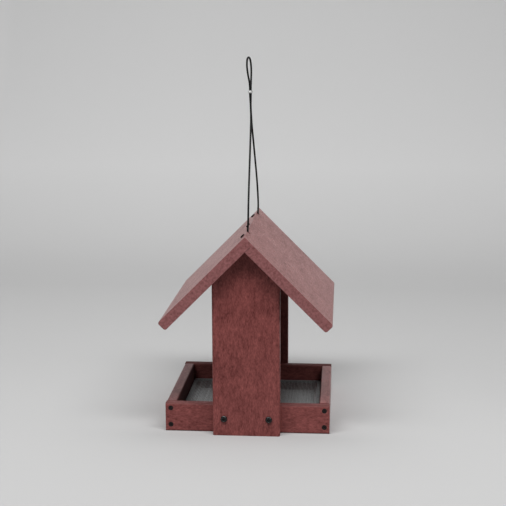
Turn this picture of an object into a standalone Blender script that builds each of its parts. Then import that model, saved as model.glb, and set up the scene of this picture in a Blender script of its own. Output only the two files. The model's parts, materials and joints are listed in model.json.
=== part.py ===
"""Hanging bird feeder: an open tray on a lift-out wire screen, two peaked posts, and a gable roof that slides
up the wire-rope hanger. Metres, +Z up, front towards -Y, origin on the ground under the tray's middle."""

import math

import bmesh
import bpy
from mathutils import Matrix, Vector

MM = 0.001

# Planks
PLANK = 12.7 * MM
EDGE_ROUND = 2.0 * MM
ROUND_STEPS = 3
MOST_ROUND = 0.45
SEAT_GAP = 0.3 * MM

# Tray
TRAY_WIDTH = 199.4 * MM
TRAY_DEPTH = 188.3 * MM
RAIL_HEIGHT = 34.9 * MM
LEDGE_WIDTH = 9.0 * MM
LEDGE_HEIGHT = 12.0 * MM

# Posts
POST_WIDTH = 80.9 * MM

# Roof
RIDGE_HEIGHT = 244.6 * MM
ROOF_OVERHANG = 11.75 * MM
SLOPE_LENGTH = 146.8 * MM
ROOF_SLOPE = math.radians(45)
EAVE_ROUND = 2.8 * MM

# Lift-out floor screen
SCREEN_CLEARANCE = 1.5 * MM
SCREEN_WIRE = 0.9 * MM
SCREEN_GAPS_ACROSS = 14
SCREEN_GAPS_DEEP = 13
RIM_WIDTH = 4.5 * MM
RIM_SHEET = 0.45 * MM

# Screws
HOLE_CLEARANCE = 0.3 * MM
SCREW_SIDES = 12
SHANK_RADIUS = 1.7 * MM
SCREW_TIP = 3.5 * MM
TIP_COVER = 3.5 * MM
DRIVE_RADIUS = 1.3 * MM
DRIVE_DEPTH = 1.2 * MM
PAN_RADIUS = 4.1 * MM
PAN_HEIGHT = 2.6 * MM
PAN_STEPS = 4
TRIM_RADIUS = 2.9 * MM
TRIM_RIM = 0.5 * MM
TRIM_CONE = 2.0 * MM
TRIM_SINK = 0.1 * MM
POST_SCREW_INSET = 13.4 * MM
POST_SCREW_DROP = 14.1 * MM
CORNER_SCREW_BELOW_TOP = 6.0 * MM
CORNER_SCREW_ABOVE_BOTTOM = 8.2 * MM
CORNER_SCREW_BITE = 19.0 * MM
RIDGE_SCREW_BELOW_RIDGE = 7.6 * MM
RIDGE_SCREW_PROUD = 1.0 * MM
RIDGE_SCREW_BEYOND_HOLE = 5.0 * MM
RIDGE_SCREW_BITE = 25.0 * MM
LEDGE_SCREW_INSET = 48.0 * MM

# Hanging cable
CABLE_DIAMETER = 2.4 * MM
CABLE_POINTS = 80
CABLE_INSIDE_POST = 18.4 * MM
CABLE_OFFSET = 1.2 * MM
RIDGE_HOLE_PLAY = 1.2 * MM
EYE_BELOW_RIDGE = 40.6 * MM
EYE_WIRE = 2.2 * MM
EYE_PLAY = 0.8 * MM
EYE_RING_SIDES = 16
EYE_WIRE_SIDES = 8
STOP_WALL = 1.7 * MM
STOP_LENGTH = 9.0 * MM
CABLE_TAIL = 1.5 * MM
FERRULE_HEIGHT = 2.8 * MM
FERRULE_WALL = 1.1 * MM
FERRULE_RISE = 161.6 * MM
FERRULE_LEAN = -2.0 * MM
FERRULE_TURN = math.radians(20)
STRAND_GAP = 0.5 * MM
STRANDS_TOGETHER = 7.0 * MM
LOOP_TURN = math.radians(9.4)

# One leg of the cable, in millimetres: sideways, out from the middle, and up from the ridge
LEG_ROUTE_MM = (
    (1.5, 77.5, 11.4),
    (1.0, 74.0, 31.4),
    (0.6, 60.0, 53.4),
    (0.1, 43.0, 75.4),
    (-0.4, 26.5, 96.4),
    (-0.9, 12.5, 114.4),
    (-1.2, 3.5, 129.4),
    (-1.7, 1.5, 144.4),
)
# Half of the eye above the ferrule, in millimetres: sideways lean, out from the middle, and up from the ridge
LOOP_ROUTE_MM = (
    (-2.2, 4.2, 173.4),
    (-3.0, 9.0, 184.4),
    (-3.6, 10.4, 193.4),
    (-4.0, 7.0, 201.0),
)
LOOP_TOP_MM = (-4.1, 0.0, 203.4)

# Places that follow from the sizes above
SIDES = {"front": -1, "back": 1}
ENDS = {"left": -1, "right": 1}
RAIL_FACE = TRAY_DEPTH / 2
POST_INNER = RAIL_FACE + SEAT_GAP
POST_FACE = POST_INNER + PLANK
ROOF_LENGTH = 2 * (POST_FACE + ROOF_OVERHANG)
TRAY_INNER_X = TRAY_WIDTH / 2 - PLANK
TRAY_INNER_Y = RAIL_FACE - PLANK
SLOPE_NORMAL = {
    "left": Vector((-math.sin(ROOF_SLOPE), 0, math.cos(ROOF_SLOPE))),
    "right": Vector((math.sin(ROOF_SLOPE), 0, math.cos(ROOF_SLOPE))),
}
CABLE_RADIUS = CABLE_DIAMETER / 2
CABLE_BORE = CABLE_RADIUS + SEAT_GAP
CABLE_OUT = POST_INNER - CABLE_INSIDE_POST
STRAND_OFFSET = CABLE_RADIUS + STRAND_GAP / 2
EYE_HEIGHT = RIDGE_HEIGHT - EYE_BELOW_RIDGE
HOLE_THROUGH = 4 * PLANK
EYE_RING_RADIUS = CABLE_RADIUS + EYE_PLAY + EYE_WIRE / 2
STOP_TOP = EYE_HEIGHT - EYE_WIRE / 2 - SEAT_GAP
FERRULE_MIDDLE = RIDGE_HEIGHT + FERRULE_RISE

COLOURS = {
    "plank": ((0.190, 0.062, 0.058), 0.62, 0.0),
    "screw": ((0.012, 0.012, 0.013), 0.35, 0.6),
    "cable": ((0.010, 0.010, 0.011), 0.38, 0.0),
    "ferrule": ((0.62, 0.62, 0.63), 0.30, 1.0),
    "screen": ((0.120, 0.122, 0.125), 0.45, 0.8),
}


def clear_scene():
    for old in list(bpy.data.objects):
        bpy.data.objects.remove(old, do_unlink=True)


def new_collection(name):
    collection = bpy.data.collections.new(name)
    bpy.context.scene.collection.children.link(collection)
    return collection


def new_material(name):
    colour, roughness, metallic = COLOURS[name]
    material = bpy.data.materials.new(name)
    material.use_nodes = True
    shader = material.node_tree.nodes["Principled BSDF"]
    shader.inputs["Base Color"].default_value = (*colour, 1.0)
    shader.inputs["Roughness"].default_value = roughness
    shader.inputs["Metallic"].default_value = metallic
    return material


clear_scene()
PARTS = new_collection("hanging_bird_feeder")
CUTTERS = new_collection("cutters")
MATERIALS = {name: new_material(name) for name in COLOURS}


def new_empty(name, location=(0, 0, 0)):
    empty = bpy.data.objects.new(name, None)
    empty.location = location
    PARTS.objects.link(empty)
    return empty


def new_part(name, data, material, parent):
    part = bpy.data.objects.new(name, data)
    part.parent = parent
    data.materials.append(MATERIALS[material])
    PARTS.objects.link(part)
    return part


def new_cutter(name, data, parent):
    cutter = bpy.data.objects.new(name, data)
    cutter.parent = parent
    cutter.hide_render = True
    cutter.display_type = "WIRE"
    CUTTERS.objects.link(cutter)
    return cutter


def combine(part, other, operation="DIFFERENCE"):
    modifier = part.modifiers.new(other.name, "BOOLEAN")
    modifier.operation = operation
    modifier.object = other


def mesh_from(bm, name):
    mesh = bpy.data.meshes.new(name)
    bm.normal_update()
    bm.to_mesh(mesh)
    bm.free()
    return mesh


def box_bmesh(low, high):
    bm = bmesh.new()
    low = Vector(low)
    high = Vector(high)
    scale = Matrix.Diagonal((*(high - low), 1.0))
    bmesh.ops.create_cube(bm, size=1.0, matrix=Matrix.Translation((low + high) / 2) @ scale)
    return bm


def round_edges(bm, grain, radius, chosen=lambda middle: True):
    """Rounds the edges that run along the grain axis, where chosen says so of an edge's middle."""
    edges = []
    for edge in bm.edges:
        start, end = (vert.co for vert in edge.verts)
        along = abs((end - start).normalized()[grain]) > 0.99
        if along and chosen((start + end) / 2):
            edges.append(edge)
    bmesh.ops.bevel(bm, geom=edges, offset=radius, segments=ROUND_STEPS, profile=0.5, affect="EDGES")


def saw(bm, point, normal):
    """Cuts off what lies beyond the plane, and closes the cut."""
    geometry = bm.verts[:] + bm.edges[:] + bm.faces[:]
    cut = bmesh.ops.bisect_plane(bm, geom=geometry, plane_co=point, plane_no=normal, clear_outer=True)
    rim = [item for item in cut["geom_cut"] if isinstance(item, bmesh.types.BMEdge)]
    bmesh.ops.contextual_create(bm, geom=rim)


def plank(name, low, high, grain, parent):
    bm = box_bmesh(low, high)
    round_edges(bm, grain, min(EDGE_ROUND, MOST_ROUND * PLANK))
    return new_part(name, mesh_from(bm, name), "plank", parent)


def turn(name, profile, closed=False):
    """A mesh of (radius, height) points, to be turned about Z by a Screw modifier."""
    bm = bmesh.new()
    verts = [bm.verts.new((radius, 0, height)) for radius, height in profile]
    for first, second in zip(verts, verts[1:]):
        bm.edges.new((first, second))
    if closed:
        bm.edges.new((verts[-1], verts[0]))
    mesh = bpy.data.meshes.new(name)
    bm.to_mesh(mesh)
    bm.free()
    return mesh


def spin(part, sides=SCREW_SIDES):
    modifier = part.modifiers.new("turn", "SCREW")
    modifier.steps = sides
    modifier.render_steps = sides
    modifier.use_merge_vertices = True
    modifier.merge_threshold = 0.01 * MM
    return part


def pan_profile(length):
    """A pan head that stands on the surface at height 0, above its shank."""
    seat = SEAT_GAP
    points = [(0, seat + PAN_HEIGHT - DRIVE_DEPTH), (DRIVE_RADIUS, seat + PAN_HEIGHT - DRIVE_DEPTH)]
    first = math.acos(DRIVE_RADIUS / PAN_RADIUS)
    for step in range(PAN_STEPS + 1):
        angle = first * (1 - step / PAN_STEPS)
        points.append((PAN_RADIUS * math.cos(angle), seat + PAN_HEIGHT * math.sin(angle) / math.sin(first)))
    points.append((SHANK_RADIUS, seat))
    points.append((SHANK_RADIUS, -length + SCREW_TIP))
    points.append((0, -length))
    return points


def trim_profile(length):
    """A flat head that lies in its countersink, just under the surface at height 0."""
    top = -TRIM_SINK
    return [
        (0, top - DRIVE_DEPTH),
        (DRIVE_RADIUS, top - DRIVE_DEPTH),
        (DRIVE_RADIUS, top),
        (TRIM_RADIUS, top),
        (TRIM_RADIUS, top - TRIM_RIM),
        (SHANK_RADIUS, top - TRIM_RIM - TRIM_CONE),
        (SHANK_RADIUS, -length + SCREW_TIP),
        (0, -length),
    ]


def hole_profile(length, countersunk):
    above = PAN_HEIGHT
    shank = SHANK_RADIUS + HOLE_CLEARANCE
    bottom = -length - HOLE_CLEARANCE
    if not countersunk:
        return [(0, above), (shank, above), (shank, bottom), (0, bottom)]
    head = TRIM_RADIUS + HOLE_CLEARANCE
    rim = -TRIM_SINK - TRIM_RIM - HOLE_CLEARANCE
    return [
        (0, above),
        (head, above),
        (head, rim),
        (shank, rim - TRIM_CONE),
        (shank, bottom),
        (0, bottom),
    ]


def screw(name, place, outward, length, countersunk, planks, parent):
    """A screw whose head faces outward at a place on a surface, and its hole in the planks that it joins."""
    profile = trim_profile(length) if countersunk else pan_profile(length)
    body = spin(new_part(name, turn(name, profile), "screw", parent))
    hole = spin(new_cutter("hole_" + name, turn("hole_" + name, hole_profile(length, countersunk)), parent))
    for item in (body, hole):
        item.location = place
        item.rotation_mode = "QUATERNION"
        item.rotation_quaternion = Vector(outward).to_track_quat("Z", "Y")
    for joined in planks:
        combine(joined, hole)
    return body


def build_tray(base):
    rails = {}
    for side, sign in SIDES.items():
        middle = sign * (RAIL_FACE - PLANK / 2)
        low = (-TRAY_WIDTH / 2, middle - PLANK / 2, 0)
        high = (TRAY_WIDTH / 2, middle + PLANK / 2, RAIL_HEIGHT)
        rails[side] = plank(f"tray_{side}_rail", low, high, 0, base)
    reach = TRAY_INNER_Y - SEAT_GAP
    for end, sign in ENDS.items():
        middle = sign * (TRAY_WIDTH / 2 - PLANK / 2)
        low = (middle - PLANK / 2, -reach, 0)
        high = (middle + PLANK / 2, reach, RAIL_HEIGHT)
        rails[end] = plank(f"tray_{end}_rail", low, high, 1, base)
    for side, side_sign in SIDES.items():
        for end, end_sign in ENDS.items():
            for row, height in (
                ("upper", RAIL_HEIGHT - CORNER_SCREW_BELOW_TOP),
                ("lower", CORNER_SCREW_ABOVE_BOTTOM),
            ):
                screw(
                    f"corner_screw_{side}_{end}_{row}",
                    (end_sign * (TRAY_WIDTH / 2 - PLANK / 2), side_sign * RAIL_FACE, height),
                    (0, side_sign, 0),
                    PLANK + SEAT_GAP + CORNER_SCREW_BITE,
                    True,
                    (rails[side], rails[end]),
                    base,
                )
    return rails


def build_ledges(base, rails):
    """Strips inside the left and right rails, which carry the floor screen."""
    reach = TRAY_INNER_Y - SEAT_GAP
    for end, sign in ENDS.items():
        outer = sign * (TRAY_INNER_X - SEAT_GAP)
        inner = outer - sign * LEDGE_WIDTH
        low = (min(outer, inner), -reach, 0)
        high = (max(outer, inner), reach, LEDGE_HEIGHT)
        name = f"screen_ledge_{end}"
        ledge = new_part(name, mesh_from(box_bmesh(low, high), name), "plank", base)
        for side, side_sign in SIDES.items():
            screw(
                f"ledge_screw_{end}_{side}",
                (inner, side_sign * (RAIL_FACE - LEDGE_SCREW_INSET), LEDGE_HEIGHT / 2),
                (-sign, 0, 0),
                LEDGE_WIDTH + SEAT_GAP + PLANK - TIP_COVER,
                True,
                (ledge, rails[end]),
                base,
            )


def build_posts(base, rails):
    peak = RIDGE_HEIGHT - (PLANK + SEAT_GAP) / math.cos(ROOF_SLOPE)
    posts = {}
    for side, sign in SIDES.items():
        middle = sign * (POST_INNER + PLANK / 2)
        bm = box_bmesh(
            (-POST_WIDTH / 2, middle - PLANK / 2, 0),
            (POST_WIDTH / 2, middle + PLANK / 2, RIDGE_HEIGHT),
        )
        round_edges(bm, 2, min(EDGE_ROUND, MOST_ROUND * PLANK))
        for normal in SLOPE_NORMAL.values():
            saw(bm, (0, 0, peak), normal)
        name = f"{side}_post"
        posts[side] = new_part(name, mesh_from(bm, name), "plank", base)
        for end, end_sign in ENDS.items():
            screw(
                f"post_screw_{side}_{end}",
                (
                    end_sign * (POST_WIDTH / 2 - POST_SCREW_INSET),
                    sign * POST_FACE,
                    RAIL_HEIGHT - POST_SCREW_DROP,
                ),
                (0, sign, 0),
                PLANK + SEAT_GAP + PLANK - TIP_COVER,
                False,
                (posts[side], rails[side]),
                base,
            )
    return posts


def roof_board(name, sign, cut_normal, cut_depth, roof):
    """A board that runs down one slope, in its own axes: X down the slope, Z out of the roof. Its upper end
    is sawn along the other slope, at cut_depth under that slope's outer face."""
    spare = PLANK * math.tan(ROOF_SLOPE) + PLANK
    ends = sorted((-sign * spare, sign * SLOPE_LENGTH))
    bm = box_bmesh((ends[0], -ROOF_LENGTH / 2, -PLANK), (ends[1], ROOF_LENGTH / 2, 0))
    eave_round = min(EAVE_ROUND, MOST_ROUND * PLANK)
    round_edges(bm, 1, eave_round, lambda middle: sign * middle.x > 0)
    level = Matrix.Rotation(-sign * ROOF_SLOPE, 3, "Y")
    saw(bm, level @ (cut_normal * -cut_depth), level @ cut_normal)
    board = new_part(name, mesh_from(bm, name), "plank", roof)
    board.rotation_euler = (0, sign * ROOF_SLOPE, 0)
    return board


def build_roof(roof):
    """The left board runs over the upper end of the right one. Screws that stand a little proud hold them."""
    boards = (
        roof_board("roof_left_board", -1, SLOPE_NORMAL["right"], 0, roof),
        roof_board("roof_right_board", 1, SLOPE_NORMAL["left"], PLANK + SEAT_GAP, roof),
    )
    down_left = Vector((-math.cos(ROOF_SLOPE), 0, -math.sin(ROOF_SLOPE)))
    head = down_left * RIDGE_SCREW_BELOW_RIDGE + SLOPE_NORMAL["left"] * RIDGE_SCREW_PROUD
    for step, place in enumerate(("front", "middle", "back")):
        along = (step - 1) * (CABLE_OUT + RIDGE_SCREW_BEYOND_HOLE)
        screw(
            f"ridge_screw_{place}",
            head + Vector((0, along, 0)),
            SLOPE_NORMAL["left"],
            PLANK + SEAT_GAP + RIDGE_SCREW_BITE,
            True,
            boards,
            roof,
        )
    for side, sign in SIDES.items():
        bm = bmesh.new()
        bmesh.ops.create_cone(
            bm,
            cap_ends=True,
            segments=SCREW_SIDES,
            radius1=CABLE_RADIUS + RIDGE_HOLE_PLAY,
            radius2=CABLE_RADIUS + RIDGE_HOLE_PLAY,
            depth=HOLE_THROUGH,
        )
        hole = new_cutter(f"cable_hole_{side}", mesh_from(bm, f"cable_hole_{side}"), roof)
        hole.location = (CABLE_OFFSET, sign * CABLE_OUT, 0)
        for board in boards:
            combine(board, hole)


def build_screen(screen):
    """A net of wires held in a folded sheet rim, which rests on the ledges and lifts out."""
    half_x = TRAY_INNER_X - SCREEN_CLEARANCE
    half_y = TRAY_INNER_Y - SCREEN_CLEARANCE
    slot = SCREEN_WIRE / 2 + SEAT_GAP
    half_rim = slot + RIM_SHEET

    name = "screen_rim"
    blank = box_bmesh((-half_x, -half_y, -half_rim), (half_x, half_y, half_rim))
    rim = new_part(name, mesh_from(blank, name), "screen", screen)
    cuts = {
        "rim_window": (half_x - RIM_WIDTH, half_y - RIM_WIDTH, 2 * half_rim),
        "rim_slot": (half_x - RIM_SHEET, half_y - RIM_SHEET, slot),
    }
    for cut_name, half in cuts.items():
        low = tuple(-value for value in half)
        combine(rim, new_cutter(cut_name, mesh_from(box_bmesh(low, half), cut_name), screen))

    name = "floor_screen"
    edge = RIM_SHEET + SEAT_GAP + SCREEN_WIRE / 2
    bm = bmesh.new()
    bmesh.ops.create_grid(
        bm,
        x_segments=SCREEN_GAPS_ACROSS,
        y_segments=SCREEN_GAPS_DEEP,
        size=1.0,
        matrix=Matrix.Diagonal((half_x - edge, half_y - edge, 1.0, 1.0)),
    )
    net = new_part(name, mesh_from(bm, name), "screen", screen)
    wires = net.modifiers.new("wires", "WIREFRAME")
    wires.thickness = SCREEN_WIRE
    wires.use_even_offset = True
    wires.use_boundary = True
    screen.location.z = LEDGE_HEIGHT + SEAT_GAP + half_rim


def build_anchors(base, posts):
    """A screw eye in each post's inner face, and the crimped stop under it that holds the cable's end."""
    reach = POST_FACE - TIP_COVER - CABLE_OUT
    for side, sign in SIDES.items():
        place = (CABLE_OFFSET, sign * CABLE_OUT, EYE_HEIGHT)
        bpy.ops.mesh.primitive_torus_add(
            major_radius=EYE_RING_RADIUS,
            minor_radius=EYE_WIRE / 2,
            major_segments=EYE_RING_SIDES,
            minor_segments=EYE_WIRE_SIDES,
        )
        eye = bpy.context.active_object
        for collection in list(eye.users_collection):
            collection.objects.unlink(eye)
        PARTS.objects.link(eye)
        eye.name = f"cable_eye_{side}"
        eye.data.name = eye.name
        eye.data.materials.append(MATERIALS["screw"])
        eye.data.shade_smooth()
        eye.parent = base
        eye.location = place
        for cut_name, start, radius, length in (
            (f"eye_shank_{side}", EYE_RING_RADIUS, EYE_WIRE / 2, reach),
            (f"eye_hole_{side}", EYE_RING_RADIUS, EYE_WIRE / 2 + HOLE_CLEARANCE, reach + HOLE_CLEARANCE),
        ):
            bm = bmesh.new()
            middle = sign * (start + length) / 2
            bmesh.ops.create_cone(
                bm,
                cap_ends=True,
                segments=EYE_WIRE_SIDES,
                radius1=radius,
                radius2=radius,
                depth=length - start,
                matrix=Matrix.Translation((0, middle, 0)) @ Matrix.Rotation(math.pi / 2, 4, "X"),
            )
            helper = new_cutter(cut_name, mesh_from(bm, cut_name), base)
            helper.location = place
            if helper.name.startswith("eye_shank"):
                combine(eye, helper, "UNION")
            else:
                combine(posts[side], helper)
        bottom = STOP_TOP - STOP_LENGTH
        sleeve = [
            (CABLE_BORE + STOP_WALL, STOP_TOP),
            (CABLE_BORE + STOP_WALL, bottom),
            (CABLE_BORE, bottom),
            (CABLE_BORE, STOP_TOP),
        ]
        name = f"cable_stop_{side}"
        stop = spin(new_part(name, turn(name, sleeve, closed=True), "ferrule", base))
        stop.location = (CABLE_OFFSET, sign * CABLE_OUT, 0)


def smooth_points(route, count):
    """Points at even steps along a Catmull-Rom curve through the route."""
    fine = []
    steps = 24
    padded = [2 * route[0] - route[1], *route, 2 * route[-1] - route[-2]]
    for a, b, c, d in zip(padded, padded[1:], padded[2:], padded[3:]):
        for step in range(steps):
            t = step / steps
            bend = (2 * a - 5 * b + 4 * c - d) * t**2 + (3 * b - a - 3 * c + d) * t**3
            fine.append(b + 0.5 * ((c - a) * t + bend))
    fine.append(route[-1])
    lengths = [0.0]
    for first, second in zip(fine, fine[1:]):
        lengths.append(lengths[-1] + (second - first).length)
    points = []
    index = 0
    for step in range(count):
        wanted = lengths[-1] * step / (count - 1)
        while index < len(fine) - 2 and lengths[index + 1] < wanted:
            index += 1
        share = (wanted - lengths[index]) / (lengths[index + 1] - lengths[index])
        points.append(fine[index].lerp(fine[index + 1], share))
    return points


def half_route(sign):
    """From the stop on one side up through the ridge and the ferrule, to just under the top of the eye."""
    ridge = Vector((0, 0, RIDGE_HEIGHT))
    points = []
    for height in (
        STOP_TOP - STOP_LENGTH - CABLE_TAIL,
        STOP_TOP,
        (STOP_TOP + RIDGE_HEIGHT) / 2,
        RIDGE_HEIGHT - CABLE_OFFSET,
    ):
        points.append(Vector((CABLE_OFFSET, sign * CABLE_OUT, height)))
    for lean, outward, rise in LEG_ROUTE_MM:
        points.append(ridge + MM * Vector((lean, sign * outward, rise)))
    strand = sign * STRAND_OFFSET * Vector((math.sin(FERRULE_TURN), math.cos(FERRULE_TURN), 0))
    for end in (-1, 1):
        height = FERRULE_MIDDLE + end * STRANDS_TOGETHER / 2
        points.append(Vector((FERRULE_LEAN, 0, height)) + strand)
    for lean, outward, rise in LOOP_ROUTE_MM:
        along = sign * outward * math.cos(LOOP_TURN)
        across = lean + sign * outward * math.sin(LOOP_TURN)
        points.append(ridge + MM * Vector((across, along, rise)))
    return points


def cable_route():
    """From the front stop up, round the eye, and down to the back stop."""
    top = Vector((0, 0, RIDGE_HEIGHT)) + MM * Vector(LOOP_TOP_MM)
    return half_route(SIDES["front"]) + [top] + half_route(SIDES["back"])[::-1]


def stadium(curve, half_straight, radius):
    """Adds a closed outline with round ends along Y."""
    points = []
    for step in range(2 * SCREW_SIDES):
        angle = 2 * math.pi * step / (2 * SCREW_SIDES)
        shift = half_straight if math.sin(angle) >= 0 else -half_straight
        points.append((radius * math.cos(angle), radius * math.sin(angle) + shift, 0, 1))
    spline = curve.splines.new("POLY")
    spline.points.add(len(points) - 1)
    for spot, point in zip(spline.points, points):
        spot.co = point
    spline.use_cyclic_u = True


def build_cable(base):
    curve = bpy.data.curves.new("hanging_cable", "CURVE")
    curve.dimensions = "3D"
    curve.bevel_depth = CABLE_RADIUS
    curve.bevel_resolution = 2
    curve.use_fill_caps = True
    spline = curve.splines.new("POLY")
    points = smooth_points(cable_route(), CABLE_POINTS)
    spline.points.add(len(points) - 1)
    for spot, point in zip(spline.points, points):
        spot.co = (*point, 1)
    new_part("hanging_cable", curve, "cable", base)

    outline = bpy.data.curves.new("cable_ferrule", "CURVE")
    outline.dimensions = "2D"
    outline.fill_mode = "BOTH"
    outline.extrude = FERRULE_HEIGHT / 2
    stadium(outline, STRAND_OFFSET, CABLE_BORE + FERRULE_WALL)
    stadium(outline, STRAND_OFFSET, CABLE_BORE)
    ferrule = new_part("cable_ferrule", outline, "ferrule", base)
    ferrule.location = (FERRULE_LEAN, 0, FERRULE_MIDDLE)
    ferrule.rotation_euler = (0, 0, -FERRULE_TURN)


def main():
    base = new_empty("base")
    roof = new_empty("roof_lift", (0, 0, RIDGE_HEIGHT))
    screen = new_empty("screen_lift")
    rails = build_tray(base)
    build_ledges(base, rails)
    posts = build_posts(base, rails)
    build_roof(roof)
    build_screen(screen)
    build_anchors(base, posts)
    build_cable(base)


main()
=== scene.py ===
"""The looks of the hanging bird feeder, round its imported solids: grained planks, a woven floor screen, screws
with recessed heads, a wire-rope hanger and a pale studio sweep. Metres, +Z up, front towards -Y."""

import json
import math

import bpy
from mathutils import Matrix, Vector


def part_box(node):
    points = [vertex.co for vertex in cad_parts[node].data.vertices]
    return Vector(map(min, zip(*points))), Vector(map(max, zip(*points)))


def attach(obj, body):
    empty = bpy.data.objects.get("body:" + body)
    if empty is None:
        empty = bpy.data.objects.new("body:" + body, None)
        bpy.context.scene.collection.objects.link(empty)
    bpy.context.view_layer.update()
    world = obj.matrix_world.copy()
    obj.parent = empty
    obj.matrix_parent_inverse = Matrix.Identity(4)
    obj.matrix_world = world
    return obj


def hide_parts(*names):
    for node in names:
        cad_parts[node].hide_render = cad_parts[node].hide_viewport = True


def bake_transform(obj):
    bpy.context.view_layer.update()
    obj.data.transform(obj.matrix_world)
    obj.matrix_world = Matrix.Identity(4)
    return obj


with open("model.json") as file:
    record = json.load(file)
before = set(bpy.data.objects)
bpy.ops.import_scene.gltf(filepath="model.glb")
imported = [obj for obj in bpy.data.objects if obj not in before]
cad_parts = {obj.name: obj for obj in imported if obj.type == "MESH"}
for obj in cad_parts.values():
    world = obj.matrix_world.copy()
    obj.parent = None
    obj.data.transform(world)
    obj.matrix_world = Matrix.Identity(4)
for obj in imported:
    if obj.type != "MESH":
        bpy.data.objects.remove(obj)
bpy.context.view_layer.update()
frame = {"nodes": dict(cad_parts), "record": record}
NODES = frame["nodes"]
BODY_OF = {node: body for body, nodes in frame["record"]["behaviour"]["bodies"].items() for node in nodes}
MM = 0.001
FULL_TURN = 2 * math.pi

# Camera, fitted to the straight edges of the object
CAMERA_PLACE = Vector((0.112523, -1.424990, 0.467653))
CAMERA_YAW = -0.0785
CAMERA_PITCH = -0.1822
CAMERA_ROLL = -0.0038
CAMERA_LENS = 81.854
CAMERA_SENSOR = 36.0
CAMERA_NEAR = 0.05
CAMERA_FAR = 50.0

# Lamps: place, width and depth, and power
LAMPS = {
    "key": ((0.0, -0.87, 1.77), (3.4, 0.4), 60.0),
    "top": ((0.0, 0.0, 1.97), (3.4, 0.5), 8.0),
    "side": ((1.4, -0.3, 1.5), (1.0, 0.6), 2.5),
    "back": ((0.0, 0.75, 1.9), (3.4, 0.4), 3.5),
}
LAMP_AIM = Vector((0.0, 0.0, 0.12))

# World: a weak light that is pale where it is seen
WORLD_COLOUR = (1.0, 1.0, 1.0, 1.0)
WORLD_STRENGTH = 0.02
WORLD_SEEN = 0.58
WORLD_MIRRORED = 0.5

# Paper sweep, with its tone by the way back along the floor and up the wall
SWEEP_HALF_WIDTH = 2.0
SWEEP_FRONT = -2.0
SWEEP_BEND = 0.9
SWEEP_RADIUS = 1.0
SWEEP_TOP = 2.8
SWEEP_STEPS = 24
SWEEP_TONES = (
    (-2.0, 0.95),
    (-1.4, 0.62),
    (-0.9, 0.46),
    (-0.37, 0.45),
    (0.2, 0.47),
    (0.75, 0.525),
    (1.2, 0.665),
    (1.6, 0.77),
    (3.0, 0.75),
)
PAPER_ROUGH = 0.95
PAPER_SHINE = 0.1

# The paper is paler far out to the sides, and from the tray back a painted shade makes it a little darker
# towards the right
SIDE_FROM = 0.8
SIDE_GAIN = 2.0
TONE_MOST = 0.95
RIGHTWARD_PAINTED_SHADE = 0.05
FALL_ACROSS = (-0.3, 0.5)
FALL_BEHIND = (-0.1, 0.1)

# The floor in front throws little light back
BOUNCE_PLACES = (-0.7, -0.37)
BOUNCE_LEAST = 0.08

# Round the tray the floor carries a painted shadow in front, and painted light beside and behind that lightens
# its cast shadows there
TRAY_REACH = (0.103, 0.106, 0.0)
PAINTED_SHADING_REACH = 50.0 * MM
PAINTED_SHADING_PLACES = (-0.11, 0.03)
PAINTED_SHADOW_FRONT = -0.10
PAINTED_LIGHT_BESIDE = 0.28

# Sockets of a Mix node that hold its colours
MIX_COLOURS = (6, 7)
MIX_RESULT = 2

# Where most of a noise lies
NOISE_RANGE = (0.3, 0.7)

# Planks: noise, mostly drawn out along the grain, and how it sets the tone
ACROSS = 0
DEEP = 1
UPRIGHT = 2
FIBRE_SCALE = 850.0
FLECK_SCALE = 330.0
CLOUD_SCALE = 55.0
SPECK_SCALE = 1100.0
FINE_DETAIL = 2.0
CLOUD_DETAIL = 3.0
FIBRE_DRAWN = 0.36
CLOUD_DRAWN = 0.5
FIBRE_SHARE = 0.42
FLECK_SHARE = 0.33
CLOUD_SHARE = 0.25
TONE_RANGE = (0.35, 0.65)
STAIN = ((0.094, 0.021, 0.020), (0.306, 0.090, 0.083))

# Planks: sawn ends, edges paled partly by wear and partly by a painted highlight, and painted shade on inward
# faces and on tops
SAWN_FACING = (0.85, 0.97)
SAWN = ((0.165, 0.050, 0.050), (0.312, 0.121, 0.121))
EDGE_RADIUS = 0.5 * MM
EDGE_SAMPLES = 6
EDGE_RANGE = (0.01, 0.12)
WEAR_AND_HIGHLIGHT_RANGE = (0.4, 0.65)
WEAR_AND_HIGHLIGHT_SHARE = (0.05, 0.25)
WEAR_AND_HIGHLIGHT = (0.30, 0.13, 0.124)
# Faces that look inwards, inside the tray and under the roof, get a painted shade
INWARD_RANGE = (-0.01, -0.05)
INWARD_PAINTED_SHADE = (0.040, 0.014, 0.012)
INWARD_ROUGH = 0.95
# Tops of the tray rails, under the roof, get a painted shade
TOP_SHADE_FACING = (0.1, 0.5)
TOP_PAINTED_SHADE = (0.070, 0.020, 0.019)

# Planks: relief and gloss
SPECK_SHARE = 0.6
GRAIN_BUMP = 0.35
GRAIN_DEPTH = 0.2 * MM
GLOSS_RANGE = (0.36, 0.64)
PALE_ROUGHER = -0.07
DARK_ROUGHER = 0.09
# plank_front, plank_back and plank_left are copies of one stain for single rails, differing in gloss and in how
# much painted shade their inward faces and tops get
PLANKS = {
    "plank_front": {"grain": ACROSS, "rough": 0.5, "shine": 0.2, "inward_shade": 0.48, "top_shade": 0.62},
    "plank_back": {"grain": ACROSS, "rough": 0.6, "shine": 0.15, "inward_shade": 0.48, "top_shade": 0.85},
    "plank_left": {"grain": DEEP, "rough": 0.36, "shine": 0.32, "inward_shade": 0.8, "top_shade": 0.6},
    "plank_deep": {"grain": DEEP, "rough": 0.32, "shine": 0.44, "inward_shade": 0.45, "top_shade": 0.0},
    "plank_upright": {"grain": UPRIGHT, "rough": 0.4, "shine": 0.15, "inward_shade": 0.55, "top_shade": 0.0},
}

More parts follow.
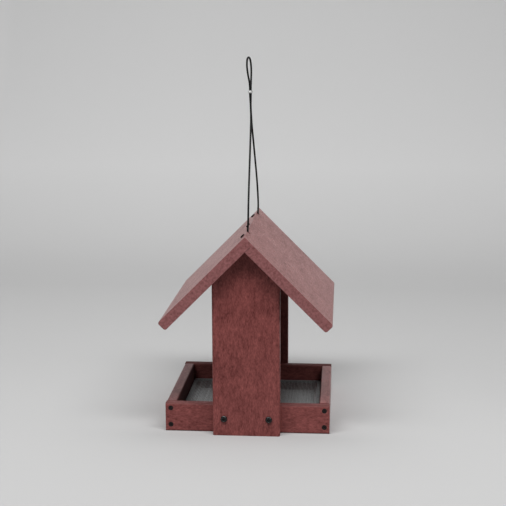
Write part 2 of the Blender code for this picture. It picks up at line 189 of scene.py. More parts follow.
# Black coated steel
BLACK = ((0.003, 0.003, 0.003), (0.010, 0.010, 0.011))
RUSTY = ((0.011, 0.008, 0.008), (0.032, 0.020, 0.019))
SCUFF_DETAIL = 4.0
SCUFF_BREAK = 0.65
SCUFF_RANGE = (0.45, 0.75)
SCUFF_ROUGHER = (-0.06, 0.12)
SCUFF_BUMP = 0.12
FINE_DEPTH = 0.05 * MM
BLACKS = {
    "pan_screw": {"colours": BLACK, "rough": 0.14, "scale": 900.0, "shine": 0.36},
    "corner_screw": {"colours": RUSTY, "rough": 0.6, "scale": 900.0, "shine": 0.2},
    "ridge_screw": {"colours": BLACK, "rough": 0.6, "scale": 900.0, "shine": 0.1},
    "cable": {"colours": BLACK, "rough": 0.5, "scale": 500.0, "shine": 0.12},
}

# Bare metal
METALLIC = 0.9
DULL_SCALE = 45.0
DULL_DETAIL = 4.0
SPANGLE_DETAIL = 3.0
SPANGLE_BUMP = 0.15
EVEN = (1, 1, 1)
DRAWN_WIRE = (1, 0.004, 1)
METALS = {
    "crimp": {"colours": ((0.55, 0.55, 0.54), (0.72, 0.72, 0.71)), "rough": 0.30},
    "rim": {"colours": ((0.26, 0.263, 0.266), (0.38, 0.384, 0.388)), "rough": 0.50},
    "long_wire": {
        "colours": ((0.31, 0.32, 0.325), (0.79, 0.81, 0.82)),
        "rough": 0.32,
        "patchy": 0.02,
        "scale": 500.0,
        "stretch": DRAWN_WIRE,
    },
    # The cross wires are a darker copy of the wire metal: painted shade between the long wires
    "shaded_cross_wire": {"colours": ((0.06, 0.061, 0.062), (0.12, 0.122, 0.124)), "rough": 0.48},
}

# The finish of the solids that stay, and of each kind of screw
SOLID_FINISH = {
    "front_post": "plank_upright",
    "back_post": "plank_upright",
    "tray_front_rail": "plank_front",
    "tray_back_rail": "plank_back",
    "tray_left_rail": "plank_left",
    "tray_right_rail": "plank_deep",
    "screen_ledge_left": "plank_deep",
    "screen_ledge_right": "plank_deep",
    "roof_left_board": "plank_deep",
    "roof_right_board": "plank_deep",
    "screen_rim": "rim",
}
SCREW_FINISH = {
    "post": "pan_screw",
    "corner": "corner_screw",
    "ledge": "corner_screw",
    "ridge": "ridge_screw",
}

# Meshes
SHARP_ANGLE = math.radians(40)
CURVE_PIECES = 24
ROUND_SIDES = 48

# Hanging cable, as the solids have it
SIDES = {"front": -1, "back": 1}
RIDGE_HEIGHT = 244.6 * MM
CABLE_RADIUS = 1.2 * MM
CABLE_OFFSET = 1.2 * MM
CABLE_OUT = 76.05 * MM
CABLE_END = 192.1 * MM
HOLE_BOTTOM = 224.0 * MM
STOP_TOP = 202.6 * MM
EYE_HEIGHT = 204.0 * MM
FERRULE_MIDDLE = 406.2 * MM
FERRULE_LEAN = -2.0 * MM
FERRULE_TURN = math.radians(20)
STRAND_OFFSET = 1.45 * MM
STRANDS_TOGETHER = 7.0 * MM
LOOP_TURN = math.radians(9.4)
HANGER_LENGTH = 0.511
TAIL_LENGTH = 0.032

# The cable's route in millimetres: sideways, out from the middle, and up from the ridge
LEG_ROUTE_MM = (
    (1.5, 77.5, 11.4),
    (1.0, 74.0, 31.4),
    (0.6, 60.0, 53.4),
    (0.1, 43.0, 75.4),
    (-0.4, 26.5, 96.4),
    (-0.9, 12.5, 114.4),
    (-1.2, 3.5, 129.4),
    (-1.7, 1.5, 144.4),
)
LOOP_ROUTE_MM = (
    (-2.2, 4.2, 173.4),
    (-3.0, 9.0, 184.4),
    (-3.6, 10.4, 193.4),
    (-4.0, 7.0, 201.0),
)
LOOP_TOP_MM = (-4.1, 0.0, 203.4)

# The front leg leaves its ridge hole further left than in the solids, and comes back to them higher up
FRONT_LEG_SHIFT = -1.0 * MM
SHIFT_FADES_BY = 30.0 * MM

# Wire rope
STRANDS = 6
STRAND_SIDES = 4
STRAND_DEPTH = 0.07
LAY_LENGTH = 15.0 * MM
ROPE_STEP = 0.8 * MM

# Crimped ring, stops and screw eyes on the cable
WIRE_CORNERS = 12
RING_HEIGHT = 2.8 * MM
RING_WALL = 1.1 * MM
RING_BORE = 1.4 * MM
RING_GAP = 0.3 * MM
RING_FLARE = 0.4 * MM
RING_LEAD = 0.9 * MM
RING_BENDS = 10
RING_SQUARE = 0.5
RING_STEP = 0.4 * MM
STOP_LENGTH = 9.0 * MM
STOP_RADIUS = 3.2 * MM
STOP_FLAT = 2.75 * MM
STOP_BORE = 1.25 * MM
STOP_EDGE = 0.5 * MM
STOP_FLATS = 6
STOP_EDGE_SHARE = 0.06
STOP_ROUND_SHARE = 0.20
STOP_PRESS_SHARE = 0.26
EYE_RADIUS = 3.1 * MM
EYE_WIRE = 1.1 * MM
EYE_REACH = 27.6 * MM
EYE_NECK = 1.6 * MM
EYE_FIRST_DEGREES = 66
EYE_LAST_DEGREES = -250
EYE_TURN_DEGREES = 20
EYE_STEP = 0.5 * MM

# Screws
PAN_RADIUS = 4.1 * MM
PAN_HEIGHT = 2.6 * MM
PAN_CROWN = 0.92 * PAN_HEIGHT
PAN_RECESS = 2.1 * MM
PAN_EDGE = 0.2 * MM
PAN_SEAT_SHARE = 0.95
TRIM_RADIUS = 2.9 * MM
TRIM_HEIGHT = 2.5 * MM
TRIM_CROWN = 0.2 * MM
TRIM_RECESS = 1.5 * MM
TRIM_SIDE = 0.4 * MM
HEAD_SHARES = (0.66, 0.76, 0.85, 0.92, 0.97, 1.0)
RECESS_DEPTH = 1.5 * MM
RECESS_SLIT = math.tan(math.radians(15))
RECESS_FLOOR_SHARE = 0.35
RECESS_WALL_SHARE = 0.8
RECESS_LIP_DEPTH = 0.1 * MM
RECESS_LIP_WIDTH = 0.12 * MM
RECESS_SLACK = 1e-6
SHANK_RADIUS = 1.7 * MM
SCREW_TIP = 3.5 * MM
SCREW_TIP_SHARE = 0.1

# Ridge screws, whose heads stand prouder than those of the solids
RIDGE_SCREW_LENGTH = 37.9 * MM
RIDGE_SCREW_BELOW_RIDGE = 7.6 * MM
RIDGE_SCREW_PROUD = 1.6 * MM
RIDGE_SCREW_SIDE = 1.5 * MM

# Joint of the roof boards
PLANK = 12.7 * MM
JOINT_GAP = 0.3 * MM
JOINT_TOP = 0.05 * MM
JOINT_BOTTOM = 3.0 * MM
JOINT_SHORT = 0.8 * MM

# Woven floor screen
CLOTH_PITCH = 1.75 * MM
CLOTH_THICK = 0.16 * MM
LONG_WIRE = 1.05 * MM
CROSS_WIRE = 0.5 * MM
CROSS_LIFT = 0.16 * MM
CLOTH_SIDES = 6


def add_object(name, data):
    thing = bpy.data.objects.new(name, data)
    bpy.context.scene.collection.objects.link(thing)
    return thing


def add_piece(name, mesh, material, node):
    """A detailed piece that stands for a node and rides on its body."""
    mesh.materials.append(MATERIALS[material])
    piece = add_object(name, mesh)
    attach(piece, BODY_OF[node])
    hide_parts(node)
    return piece


class Graph:
    """The nodes of a material or world. An input is a value, or another node's output."""

    def __init__(self, owner):
        owner.use_nodes = True
        self.owner = owner
        self.tree = owner.node_tree

    def put(self, socket, value):
        if isinstance(value, bpy.types.NodeSocket):
            self.tree.links.new(value, socket)
        else:
            socket.default_value = value

    def finish(self, **inputs):
        """Sets the material's shader, with an underscore for each space in an input's name."""
        shader = self.tree.nodes["Principled BSDF"]
        for name, value in inputs.items():
            self.put(shader.inputs[name.replace("_", " ")], value)
        return self.owner

    def add(self, kind, inputs, output=0, **settings):
        node = self.tree.nodes.new("ShaderNode" + kind)
        for name, value in settings.items():
            setattr(node, name, value)
        for name, value in inputs.items():
            self.put(node.inputs[name], value)
        return node.outputs[output]

    def places(self, stretch=EVEN):
        """Places on the object, in metres, with a stretch on each axis."""
        places = self.add("TexCoord", {}, output="Object")
        return self.add("Mapping", {"Vector": places, "Scale": stretch})

    def noise(self, places, scale, detail, roughness=0.55):
        return self.add(
            "TexNoise", {"Vector": places, "Scale": scale, "Detail": detail, "Roughness": roughness}
        )

    def spread(self, value, ends, low=0.0, high=1.0):
        """Maps a value between two ends to a low and a high one."""
        return self.add(
            "MapRange",
            {"Value": value, "From Min": ends[0], "From Max": ends[1], "To Min": low, "To Max": high},
        )

    def math(self, operation, first, second=0.0):
        return self.add("Math", {0: first, 1: second}, operation=operation)

    def plus(self, first, second):
        return self.math("ADD", first, second)

    def times(self, first, second):
        return self.math("MULTIPLY", first, second)

    def mix(self, share, first, second):
        """Mixes two colours, each three numbers or another node's output."""
        inputs = {0: share}
        for slot, colour in zip(MIX_COLOURS, (first, second)):
            inputs[slot] = colour if isinstance(colour, bpy.types.NodeSocket) else (*colour, 1.0)
        return self.add("Mix", inputs, output=MIX_RESULT, data_type="RGBA")

    def dot(self, first, second):
        return self.add("VectorMath", {0: first, 1: second}, output="Value", operation="DOT_PRODUCT")

    def seen(self, straight=1.0, mirrored=1.0):
        """One value where the camera looks straight, one for gloss and glass, and 0 for other light."""
        path = self.tree.nodes.new("ShaderNodeLightPath").outputs
        bent = self.math("MAXIMUM", path["Is Glossy Ray"], path["Is Transmission Ray"])
        return self.math("MAXIMUM", self.times(path["Is Camera Ray"], straight), self.times(bent, mirrored))

    def bump(self, height, strength, distance, normal=None):
        inputs = {"Height": height, "Strength": strength, "Distance": distance}
        if normal is not None:
            inputs["Normal"] = normal
        return self.add("Bump", inputs)


def along_axis(axis, value, others):
    """Three numbers: one value on an axis, and another on the rest."""
    numbers = [others] * 3
    numbers[axis] = value
    return numbers


def plank_material(name, grain, rough, shine, inward_shade, top_shade):
    """Stained plank with short fibres along one axis, cloudy tone, pale sawn ends, and edges paled partly by
    wear and partly by a painted highlight.
    Faces that look inwards get painted shade and a duller finish, and upward faces get painted shade, as much
    as each plank is given."""
    graph = Graph(bpy.data.materials.new(name))
    along = along_axis(grain, FIBRE_DRAWN, 1.0)
    fibres = graph.noise(graph.places(along), FIBRE_SCALE, FINE_DETAIL)
    flecks = graph.noise(graph.places(along), FLECK_SCALE, FINE_DETAIL)
    cloudy = along_axis(grain, CLOUD_DRAWN, 1.0)
    clouds = graph.noise(graph.places(cloudy), CLOUD_SCALE, CLOUD_DETAIL)
    specks = graph.noise(graph.places(), SPECK_SCALE, FINE_DETAIL)
    tone = graph.plus(graph.times(fibres, FIBRE_SHARE), graph.times(flecks, FLECK_SHARE))
    tone = graph.plus(tone, graph.times(clouds, CLOUD_SHARE))
    colour = graph.mix(graph.spread(tone, TONE_RANGE), *STAIN)

    facing = graph.add("NewGeometry", {}, output="Normal")
    soft = graph.add("Bevel", {"Radius": EDGE_RADIUS}, samples=EDGE_SAMPLES)
    on_end = graph.math("ABSOLUTE", graph.dot(facing, along_axis(grain, 1.0, 0.0)))
    sawn = graph.mix(graph.spread(flecks, NOISE_RANGE), *SAWN)
    colour = graph.mix(graph.spread(on_end, SAWN_FACING), colour, sawn)
    edge = graph.spread(graph.math("SUBTRACT", 1.0, graph.dot(facing, soft)), EDGE_RANGE)
    # Edges turn paler: partly wear, partly a painted highlight along the rounded edges
    colour = graph.mix(graph.times(edge, graph.spread(flecks, WEAR_AND_HIGHLIGHT_RANGE, *WEAR_AND_HIGHLIGHT_SHARE)), colour, WEAR_AND_HIGHLIGHT)
    inward = graph.spread(graph.dot(facing, graph.places()), INWARD_RANGE)
    # Painted shade on faces that look inwards, as much as the plank's inward shade
    colour = graph.mix(graph.times(inward, inward_shade), colour, INWARD_PAINTED_SHADE)
    # Painted shade on upward faces, for the rail tops that the roof shades
    if top_shade:
        upward = graph.dot(soft, along_axis(UPRIGHT, 1.0, 0.0))
        colour = graph.mix(graph.spread(upward, TOP_SHADE_FACING, 0.0, top_shade), colour, TOP_PAINTED_SHADE)

    height = graph.plus(fibres, graph.times(specks, SPECK_SHARE))
    gloss = graph.spread(tone, GLOSS_RANGE, rough + DARK_ROUGHER, rough + PALE_ROUGHER)
    return graph.finish(
        Base_Color=colour,
        Roughness=graph.math("MAXIMUM", gloss, graph.times(inward, INWARD_ROUGH)),
        Specular_IOR_Level=shine,
        Normal=graph.bump(height, GRAIN_BUMP, GRAIN_DEPTH, soft),
    )


def black_material(name, colours, rough, scale, shine):
    """Black coat over steel, with slight scuffs that are duller and paler."""
    graph = Graph(bpy.data.materials.new(name))
    scuffs = graph.noise(graph.places(), scale, SCUFF_DETAIL, SCUFF_BREAK)
    least, most = SCUFF_ROUGHER
    return graph.finish(
        Base_Color=graph.mix(graph.spread(scuffs, SCUFF_RANGE), *colours),
        Roughness=graph.spread(scuffs, NOISE_RANGE, rough + least, rough + most),
        Specular_IOR_Level=shine,
        Normal=graph.bump(scuffs, SCUFF_BUMP, FINE_DEPTH),
    )


def metal_material(name, colours, rough, patchy=0.1, scale=260.0, stretch=EVEN):
    """Bare metal with faint spangle, drawn out along a stretched axis, and dull patches."""
    graph = Graph(bpy.data.materials.new(name))
    spangle = graph.noise(graph.places(stretch), scale, SPANGLE_DETAIL)
    dull = graph.noise(graph.places(), DULL_SCALE, DULL_DETAIL)
    return graph.finish(
        Base_Color=graph.mix(graph.spread(spangle, NOISE_RANGE), *colours),
        Metallic=METALLIC,
        Roughness=graph.spread(dull, NOISE_RANGE, rough - patchy, rough + patchy),
        Normal=graph.bump(spangle, SPANGLE_BUMP, FINE_DEPTH),
    )


def make_materials():
    made = {}
    for make, finishes in ((plank_material, PLANKS), (black_material, BLACKS), (metal_material, METALS)):
        for name, finish in finishes.items():
            made[name] = make(name, **finish)
    return made


MATERIALS = make_materials()


def loft(name, rings, closed=False):
    """A mesh through rings of points, with its ends capped, or joined end to end where it is closed."""
    count = len(rings[0])
    points = [point for ring in rings for point in ring]
    faces = []
    spans = len(rings) if closed else len(rings) - 1
    for span in range(spans):
        here = span * count
        there = (span + 1) % len(rings) * count
        for side in range(count):
            after = (side + 1) % count
            faces.append((here + side, here + after, there + after, there + side))
    if not closed:
        for first, ring, turn in ((0, rings[0], -1), ((len(rings) - 1) * count, rings[-1], 1)):
            centre = len(points)
            points.append(sum(ring, Vector()) / count)
            for side in range(count):
                after = (side + 1) % count
                faces.append((first + side, first + after, centre)[::turn])
    return mesh_of(name, points, faces)


def mesh_of(name, points, faces):
    mesh = bpy.data.meshes.new(name)
    mesh.from_pydata(points, [], faces)
    mesh.shade_smooth()
    mesh.set_sharp_from_angle(angle=SHARP_ANGLE)
    return mesh


def smooth_path(route, step):
    """Points about a step apart along a Catmull-Rom curve through the route."""
    fine = []
    padded = [2 * route[0] - route[1], *route, 2 * route[-1] - route[-2]]
    for a, b, c, d in zip(padded, padded[1:], padded[2:], padded[3:]):
        for piece in range(CURVE_PIECES):
            t = piece / CURVE_PIECES
            bend = (2 * a - 5 * b + 4 * c - d) * t**2 + (3 * b - a - 3 * c + d) * t**3
            fine.append(b + 0.5 * ((c - a) * t + bend))
    fine.append(route[-1])
    lengths = [0.0]
    for first, second in zip(fine, fine[1:]):
        lengths.append(lengths[-1] + (second - first).length)
    count = max(2, round(lengths[-1] / step))
    points = []
    index = 0
    for number in range(count + 1):
        wanted = lengths[-1] * number / count
        while index < len(fine) - 2 and lengths[index + 1] < wanted:
            index += 1
        share = (wanted - lengths[index]) / (lengths[index + 1] - lengths[index])
        points.append(fine[index].lerp(fine[index + 1], share))
    return points


def sweep_rings(path, section, across=None):
    """Rings of a section along a path. section(number) gives (sideways, upward) pairs for that ring."""
    rings = []
    for number, point in enumerate(path):
        before = path[max(number - 1, 0)]
        after = path[min(number + 1, len(path) - 1)]
        along = (after - before).normalized()
        if across is None:
            across = along.orthogonal()
        across = (across - along * across.dot(along)).normalized()
        upward = along.cross(across)
        rings.append([point + across * u + upward * v for u, v in section(number)])
    return rings


def ring_of(reach, height):
    """Points round the Z axis. reach(angle) is how far out each one is, and height(reach) how high."""
    points = []
    for side in range(ROUND_SIDES):
        angle = FULL_TURN * side / ROUND_SIDES
        radius = reach(angle)
        points.append(Vector((radius * math.cos(angle), radius * math.sin(angle), height(radius))))
    return points


def always(value):
    """A function that gives the same value for any argument."""
    return lambda argument: value


def build_camera():
    forward = Vector(
        (
            math.sin(CAMERA_YAW) * math.cos(CAMERA_PITCH),
            math.cos(CAMERA_YAW) * math.cos(CAMERA_PITCH),
            math.sin(CAMERA_PITCH),
        )
    )
    level = Vector((math.cos(CAMERA_YAW), -math.sin(CAMERA_YAW), 0))
    upright = level.cross(forward)
    right = level * math.cos(CAMERA_ROLL) + upright * math.sin(CAMERA_ROLL)
    up = upright * math.cos(CAMERA_ROLL) - level * math.sin(CAMERA_ROLL)
    data = bpy.data.cameras.new("camera")
    data.lens = CAMERA_LENS
    data.sensor_width = CAMERA_SENSOR
    data.clip_start = CAMERA_NEAR
    data.clip_end = CAMERA_FAR
    camera = add_object("camera", data)
    turned = Matrix((right, up, -forward)).transposed().to_4x4()
    camera.matrix_world = Matrix.Translation(CAMERA_PLACE) @ turned
    bpy.context.scene.camera = camera


def rope_mesh(name, path):
    """A coated wire rope: the strands show through the coat as a shallow helix."""
    sides = STRANDS * STRAND_SIDES

    def section(number):
        twist = FULL_TURN * number * ROPE_STEP / LAY_LENGTH
        pairs = []
        for side in range(sides):
            angle = FULL_TURN * side / sides
            crown = abs(math.cos(angle * STRANDS / 2))
            radius = CABLE_RADIUS * (1 - STRAND_DEPTH * (1 - crown))
            pairs.append((radius * math.cos(angle + twist), radius * math.sin(angle + twist)))
        return pairs

    return loft(name, sweep_rings(path, section))


def half_route(sign):
    """From under the ridge on one side up through the ferrule, to just under the top of the eye."""
    ridge = Vector((0, 0, RIDGE_HEIGHT))
    shift = FRONT_LEG_SHIFT if sign == SIDES["front"] else 0.0
    points = [
        Vector((CABLE_OFFSET, sign * CABLE_OUT, HOLE_BOTTOM)),
        Vector((CABLE_OFFSET + shift, sign * CABLE_OUT, RIDGE_HEIGHT - CABLE_OFFSET)),
    ]
    for lean, outward, rise in LEG_ROUTE_MM:
        aside = shift * max(0.0, 1 - rise * MM / SHIFT_FADES_BY)
        points.append(ridge + MM * Vector((lean, sign * outward, rise)) + Vector((aside, 0, 0)))
    strand = sign * STRAND_OFFSET * Vector((math.sin(FERRULE_TURN), math.cos(FERRULE_TURN), 0))
    for end in (-1, 1):
        height = FERRULE_MIDDLE + end * STRANDS_TOGETHER / 2
        points.append(Vector((FERRULE_LEAN, 0, height)) + strand)
    for lean, outward, rise in LOOP_ROUTE_MM:
        along = sign * outward * math.cos(LOOP_TURN)
        across = lean + sign * outward * math.sin(LOOP_TURN)
        points.append(ridge + MM * Vector((across, along, rise)))
    return points


def add_cable(name, path, hold, follow, **facts):
    """A length of the cable: a rope along the path in the cable's finish, in place of the cable of the solids.
    The two heights, hold and follow, and the other facts are not used.
    """
    mesh = rope_mesh(name, path)
    mesh.materials.append(MATERIALS["cable"])
    cable = add_object(name, mesh)
    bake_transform(cable)
    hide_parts("hanging_cable")


def build_cable():
    """The hanger from ridge hole to ridge hole, and a tail on each side down to its stop."""
    ring = build_ring()
    top = Vector((0, 0, RIDGE_HEIGHT)) + MM * Vector(LOOP_TOP_MM)
    route = half_route(SIDES["front"]) + [top] + half_route(SIDES["back"])[::-1]
    add_cable(
        "cable_hanger",
        smooth_path(route, ROPE_STEP),
        FERRULE_MIDDLE,
        RIDGE_HEIGHT,
        length=HANGER_LENGTH,
        far_end="object",
        lay="hanging",
        with_pieces=[ring],
    )
    for side, sign in SIDES.items():
        stop = build_stop(side, sign)
        build_eye(side, sign)
        ends = [Vector((CABLE_OFFSET, sign * CABLE_OUT, height)) for height in (HOLE_BOTTOM, CABLE_END)]
        add_cable(
            f"cable_tail_{side}",
            smooth_path(ends, ROPE_STEP),
            EYE_HEIGHT,
            HOLE_BOTTOM,
            length=TAIL_LENGTH,
            far_end="fitting",
            lay="taut",
            with_pieces=[stop],
        )


def build_ring():
    """A flat wire bent and pressed round both strands, its two ends meeting on the right."""
    middle = RING_BORE + RING_WALL / 2
    lead = RING_GAP + RING_LEAD
    route = [Vector((middle + RING_FLARE, RING_GAP, 0)), Vector((middle, lead, 0))]
    for centre, first in ((STRAND_OFFSET, 0.0), (-STRAND_OFFSET, math.pi)):
        for bend in range(RING_BENDS + 1):
            angle = first + math.pi * bend / RING_BENDS
            route.append(Vector((middle * math.cos(angle), centre + middle * math.sin(angle), 0)))
    route += [Vector((middle, -lead, 0)), Vector((middle + RING_FLARE, -RING_GAP, 0))]

    def squared(value):
        return math.copysign(abs(value) ** RING_SQUARE, value)

    def section(number):
        angles = [FULL_TURN * (corner + 0.5) / WIRE_CORNERS for corner in range(WIRE_CORNERS)]
        return [
            (squared(math.cos(angle)) * RING_WALL / 2, squared(math.sin(angle)) * RING_HEIGHT / 2)
            for angle in angles
        ]

    mesh = loft("crimped_ring", sweep_rings(smooth_path(route, RING_STEP), section, Vector((1, 0, 0))))
    turned = Matrix.Rotation(-FERRULE_TURN, 4, "Z")
    mesh.transform(Matrix.Translation((FERRULE_LEAN, 0, FERRULE_MIDDLE)) @ turned)
    ring = add_piece("crimped_ring", mesh, "crimp", "cable_ferrule")
    return ring


def build_stop(side, sign):
    """A sleeve pressed to flats over its middle, on the end of the cable."""
    def pressed(angle):
        half_flat = math.pi / STOP_FLATS
        fold = (angle + half_flat) % (2 * half_flat) - half_flat
        return min(STOP_RADIUS, STOP_FLAT / math.cos(fold))

    edge = always(STOP_RADIUS - STOP_EDGE)
    plain = always(STOP_RADIUS)
    bore = always(STOP_BORE)
    lower = [(0.0, edge), (STOP_EDGE_SHARE, plain), (STOP_ROUND_SHARE, plain), (STOP_PRESS_SHARE, pressed)]
    upper = [(1 - share, reach) for share, reach in lower[::-1]]
    levels = []
    for share, reach in lower + upper + [(1.0, bore), (0.0, bore)]:
        levels.append(ring_of(reach, always(STOP_TOP - STOP_LENGTH * (1 - share))))
    mesh = loft(f"crimped_stop_{side}", levels, closed=True)
    mesh.transform(Matrix.Translation((CABLE_OFFSET, sign * CABLE_OUT, 0)))
    stop = add_piece(f"crimped_stop_{side}", mesh, "crimp", f"cable_stop_{side}")
    return stop


def build_eye(side, sign):
    """A screw eye: a wire that comes out of the post and is bent round into a ring."""
    route = [Vector((0, reach, 0)) for reach in (EYE_REACH, EYE_REACH / 2, EYE_RADIUS + EYE_NECK)]
    for degrees in range(EYE_FIRST_DEGREES, EYE_LAST_DEGREES, -EYE_TURN_DEGREES):
        angle = math.radians(degrees)
        route.append(EYE_RADIUS * Vector((math.cos(angle), math.sin(angle), 0)))

    def section(number):
        turns = [FULL_TURN * corner / WIRE_CORNERS for corner in range(WIRE_CORNERS)]
        return [(EYE_WIRE * math.cos(turn), EYE_WIRE * math.sin(turn)) for turn in turns]

    mesh = loft(f"screw_eye_{side}", sweep_rings(smooth_path(route, EYE_STEP), section))
    turned = Matrix.Rotation(0 if sign > 0 else math.pi, 4, "Z")
    mesh.transform(Matrix.Translation((CABLE_OFFSET, sign * CABLE_OUT, EYE_HEIGHT)) @ turned)
    eye = add_piece(f"screw_eye_{side}", mesh, "pan_screw", f"cable_eye_{side}")


def recess(size):
    """The outline of a cross recess, scaled: how far it reaches at an angle."""
    def reach(angle):
        fold = abs((angle + math.pi / 4) % (math.pi / 2) - math.pi / 4)
        if math.tan(fold) <= RECESS_SLIT + RECESS_SLACK:
            return size / math.cos(fold)
        return size * RECESS_SLIT / math.sin(fold)

    return reach


def screw_mesh(name, length, pan, side):
    """A screw with its head's top at height 0: a domed pan head or a flat trim head, with a cross recess."""
    radius = PAN_RADIUS if pan else TRIM_RADIUS
    size = PAN_RECESS if pan else TRIM_RECESS
    crown = PAN_CROWN if pan else TRIM_CROWN

    def dome(reach):
        return crown * (math.sqrt(max(0.0, 1 - (reach / radius) ** 2)) - 1)

    rings = [
        ring_of(recess(size * RECESS_FLOOR_SHARE), always(-RECESS_DEPTH)),
        ring_of(recess(size * RECESS_WALL_SHARE), always(-RECESS_DEPTH * RECESS_WALL_SHARE)),
        ring_of(recess(size), lambda reach: dome(reach) - RECESS_LIP_DEPTH),
        ring_of(recess(size + RECESS_LIP_WIDTH), dome),
    ]
    for share in HEAD_SHARES:
        rings.append(ring_of(always(radius * share), dome))
    if pan:
        seat = -PAN_HEIGHT
        rings.append(ring_of(always(radius), always(seat + PAN_EDGE)))
        rings.append(ring_of(always(radius * PAN_SEAT_SHARE), always(seat)))
    else:
        seat = -TRIM_HEIGHT
        rings.append(ring_of(always(radius), always(-crown - side)))
    for height, share in ((seat, 1.0), (-length + SCREW_TIP, 1.0), (-length, SCREW_TIP_SHARE)):
        rings.append(ring_of(always(SHANK_RADIUS * share), always(height)))
    return loft(name, rings[::-1])


def screw_axis(node):
    """The place of a screw's head and the way it faces, from the solid that it stands for."""
    low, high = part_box(node)
    if node.startswith("ridge_screw"):
        facing = Vector((-1, 0, 1)).normalized()
        down = Vector((-1, 0, -1)).normalized()
        ridge = Vector((0, (low.y + high.y) / 2, RIDGE_HEIGHT))
        return ridge + down * RIDGE_SCREW_BELOW_RIDGE + facing * RIDGE_SCREW_PROUD, facing
    if node.startswith("ledge_screw"):
        facing = Vector((1 if "left" in node else -1, 0, 0))
    else:
        facing = Vector((0, -1 if "front" in node else 1, 0))
    half = (high - low) / 2
    return low + half + Vector([half[axis] * facing[axis] for axis in range(3)]), facing


def build_screws():
    for node in [name for name in NODES if "_screw_" in name]:
        kind = node.split("_")[0]
        low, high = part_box(node)
        place, facing = screw_axis(node)
        length = RIDGE_SCREW_LENGTH if kind == "ridge" else max(high - low)
        side = RIDGE_SCREW_SIDE if kind == "ridge" else TRIM_SIDE
        name = f"{node}_detail"
        mesh = screw_mesh(name, length, kind == "post", side)
        mesh.transform(Matrix.Translation(place) @ facing.to_track_quat("Z", "Y").to_matrix().to_4x4())
        add_piece(name, mesh, SCREW_FINISH[kind], node)


def add_wire(points, faces, path, width):
    """Adds a flattened wire along a path to the points and faces of a cloth."""
    def section(number):
        turns = [FULL_TURN * side / CLOTH_SIDES for side in range(CLOTH_SIDES)]
        return [(width / 2 * math.cos(turn), CLOTH_THICK / 2 * math.sin(turn)) for turn in turns]

    along = (path[-1] - path[0]).normalized()
    for stop, ring in enumerate(sweep_rings(path, section, Vector((0, 0, 1)).cross(along))):
        here = len(points)
        before = here - CLOTH_SIDES
        points.extend(ring)
        if stop:
            for side in range(CLOTH_SIDES):
                after = (side + 1) % CLOTH_SIDES
                faces.append((before + side, before + after, here + after, here + side))


def build_cloth():
    """Woven wire cloth: straight wires from front to back, and finer ones bent over and under them."""
    low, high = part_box("floor_screen")
    middle = (low.z + high.z) / 2
    wide = high.x - low.x - LONG_WIRE
    deep = high.y - low.y - CROSS_WIRE
    columns = round(wide / CLOTH_PITCH)
    rows = round(deep / CLOTH_PITCH)
    points = []
    faces = []
    for column in range(columns + 1):
        across = wide * (column / columns - 0.5)
        add_wire(points, faces, [Vector((across, end * deep / 2, middle)) for end in (-1, 1)], LONG_WIRE)
    long_faces = len(faces)
    for row in range(rows + 1):
        back = deep * (row / rows - 0.5)
        path = []
        for stop in range(2 * columns + 1):
            lift = CROSS_LIFT * math.cos(math.pi * (stop / 2 + row))
            path.append(Vector((wide * (stop / (2 * columns) - 0.5), back, middle + lift)))
        add_wire(points, faces, path, CROSS_WIRE)
    mesh = mesh_of("woven_screen", points, faces)
    cloth = add_piece("woven_screen", mesh, "long_wire", "floor_screen")
    # The cross wires get the darker copy of the wire metal, as painted shade
    mesh.materials.append(MATERIALS["shaded_cross_wire"])
    for face in mesh.polygons[long_faces:]:
        face.material_index = 1


def build_ridge_joint():
    """A bead that closes the fine gap between the roof boards, where the real boards meet."""
    low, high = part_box("roof_right_board")
    down = Vector((1, 0, -1)).normalized()
    outward = Vector((1, 0, 1)).normalized()
    rings = []
    for place in (low.y + JOINT_SHORT, high.y - JOINT_SHORT):
        ridge = Vector((0, place, RIDGE_HEIGHT))
        ring = []
        for under, across in ((JOINT_TOP, 0), (JOINT_BOTTOM, 0), (JOINT_BOTTOM, 1), (JOINT_TOP, 1)):
            ring.append(ridge + down * (PLANK + across * JOINT_GAP) - outward * under)
        rings.append(ring)
    bead = loft("ridge_joint", rings)
    bead.materials.append(MATERIALS["plank_deep"])
    piece = add_object("ridge_joint", bead)
    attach(piece, "roof")


def finish_solids():
    """Gives the solids that stay their finish."""
    for node, material in SOLID_FINISH.items():
        slots = NODES[node].data.materials
        slots.clear()
        slots.append(MATERIALS[material])


def paper_ramp(graph, travel):
    """The paper's tone by the way back along the floor and up the wall."""
    first = SWEEP_TONES[0][0]
    last = SWEEP_TONES[-1][0]
    ramp = graph.tree.nodes.new("ShaderNodeValToRGB")
    graph.put(ramp.inputs[0], graph.spread(travel, (first, last)))
    stops = ramp.color_ramp.elements
    while len(stops) < len(SWEEP_TONES):
        stops.new(0.5)
    for stop, (place, tone) in zip(stops, SWEEP_TONES):
        stop.position = (place - first) / (last - first)
        stop.color = (tone, tone, tone, 1.0)
    return ramp.outputs[0]


def painted_shading_round_tray(graph, ways):
    """The painted shadow and painted light on the paper near the tray, by the distance from the tray's foot:
    darker in front, paler beside and behind.
    """
    squares = []
    for way, reach in zip(ways, TRAY_REACH):
        beyond = graph.math("SUBTRACT", graph.math("ABSOLUTE", way), reach)
        squares.append(graph.math("POWER", graph.math("MAXIMUM", beyond, 0.0), 2.0))
    distance = graph.math("SQRT", graph.plus(graph.plus(squares[0], squares[1]), squares[2]))
    near = graph.math("EXPONENT", graph.math("DIVIDE", distance, -PAINTED_SHADING_REACH))
    return graph.times(near, graph.spread(ways[1], PAINTED_SHADING_PLACES, PAINTED_SHADOW_FRONT, PAINTED_LIGHT_BESIDE))


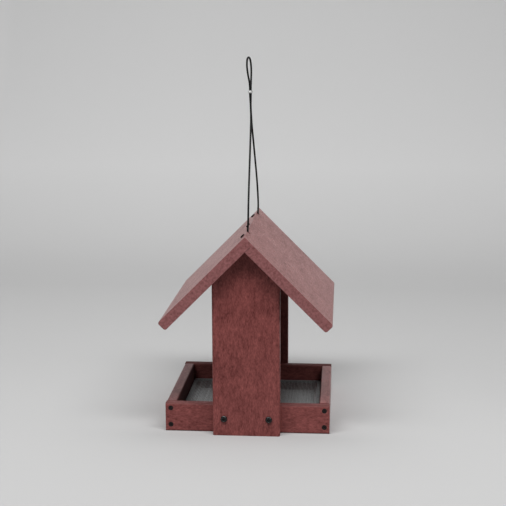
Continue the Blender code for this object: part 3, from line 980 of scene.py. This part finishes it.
def sweep_material():
    """Matt paper whose tone changes slowly from the front of the floor to the top of the wall. Round the tray
    it carries a painted shadow in front and painted light beside and behind, and from the tray back a painted
    shade makes it a little darker towards the right. The front of the floor throws little light back."""
    graph = Graph(bpy.data.materials.new("sweep"))
    parts = graph.tree.nodes.new("ShaderNodeSeparateXYZ")
    graph.put(parts.inputs[0], graph.places())
    aside, back, up = parts.outputs
    travel = graph.plus(back, up)
    # Painted shade: darker towards the right, from the tray back
    fall = graph.times(graph.spread(aside, FALL_ACROSS, 0.0, RIGHTWARD_PAINTED_SHADE), graph.spread(travel, FALL_BEHIND))
    # The painted light and shadow round the tray, less the painted shade towards the right
    change = graph.math("SUBTRACT", painted_shading_round_tray(graph, (aside, back, up)), fall)
    tone = graph.times(paper_ramp(graph, travel), graph.plus(1.0, change))
    far_out = graph.spread(graph.math("ABSOLUTE", aside), (SIDE_FROM, SWEEP_HALF_WIDTH), 1.0, SIDE_GAIN)
    tone = graph.math("MINIMUM", graph.times(tone, far_out), TONE_MOST)
    bounce = graph.spread(travel, BOUNCE_PLACES, BOUNCE_LEAST, 1.0)
    tone = graph.times(tone, graph.math("MAXIMUM", bounce, graph.seen()))
    return graph.finish(Base_Color=tone, Roughness=PAPER_ROUGH, Specular_IOR_Level=PAPER_SHINE)


def build_sweep():
    profile = [(SWEEP_FRONT, 0.0), (SWEEP_BEND, 0.0)]
    for step in range(1, SWEEP_STEPS + 1):
        angle = math.pi / 2 * step / SWEEP_STEPS
        profile.append(
            (SWEEP_BEND + SWEEP_RADIUS * math.sin(angle), SWEEP_RADIUS * (1 - math.cos(angle)))
        )
    profile.append((SWEEP_BEND + SWEEP_RADIUS, SWEEP_TOP))
    points = []
    faces = []
    for row, (depth, height) in enumerate(profile):
        points.append((-SWEEP_HALF_WIDTH, depth, height))
        points.append((SWEEP_HALF_WIDTH, depth, height))
        if row:
            faces.append((2 * row - 2, 2 * row - 1, 2 * row + 1, 2 * row))
    mesh = mesh_of("sweep", points, faces)
    mesh.materials.append(sweep_material())
    add_object("sweep", mesh)


def build_lamps():
    for name, (place, size, power) in LAMPS.items():
        data = bpy.data.lights.new(name, "AREA")
        data.shape = "RECTANGLE"
        data.size = size[0]
        data.size_y = size[1]
        data.energy = power
        lamp = add_object(name, data)
        lamp.location = place
        aim = LAMP_AIM - Vector(place)
        lamp.rotation_euler = aim.to_track_quat("-Z", "Y").to_euler()


def build_world():
    """Pale where it is seen, and dim as a light."""
    world = bpy.data.worlds.new("studio")
    graph = Graph(world)
    background = graph.tree.nodes["Background"]
    background.inputs["Color"].default_value = WORLD_COLOUR
    seen = graph.seen(WORLD_SEEN, WORLD_MIRRORED)
    graph.put(background.inputs["Strength"], graph.math("MAXIMUM", seen, WORLD_STRENGTH))
    bpy.context.scene.world = world


build_camera()
build_cable()
build_screws()
build_cloth()
build_ridge_joint()
finish_solids()
build_sweep()
build_lamps()
build_world()
bpy.context.scene.view_settings.view_transform = "Standard"
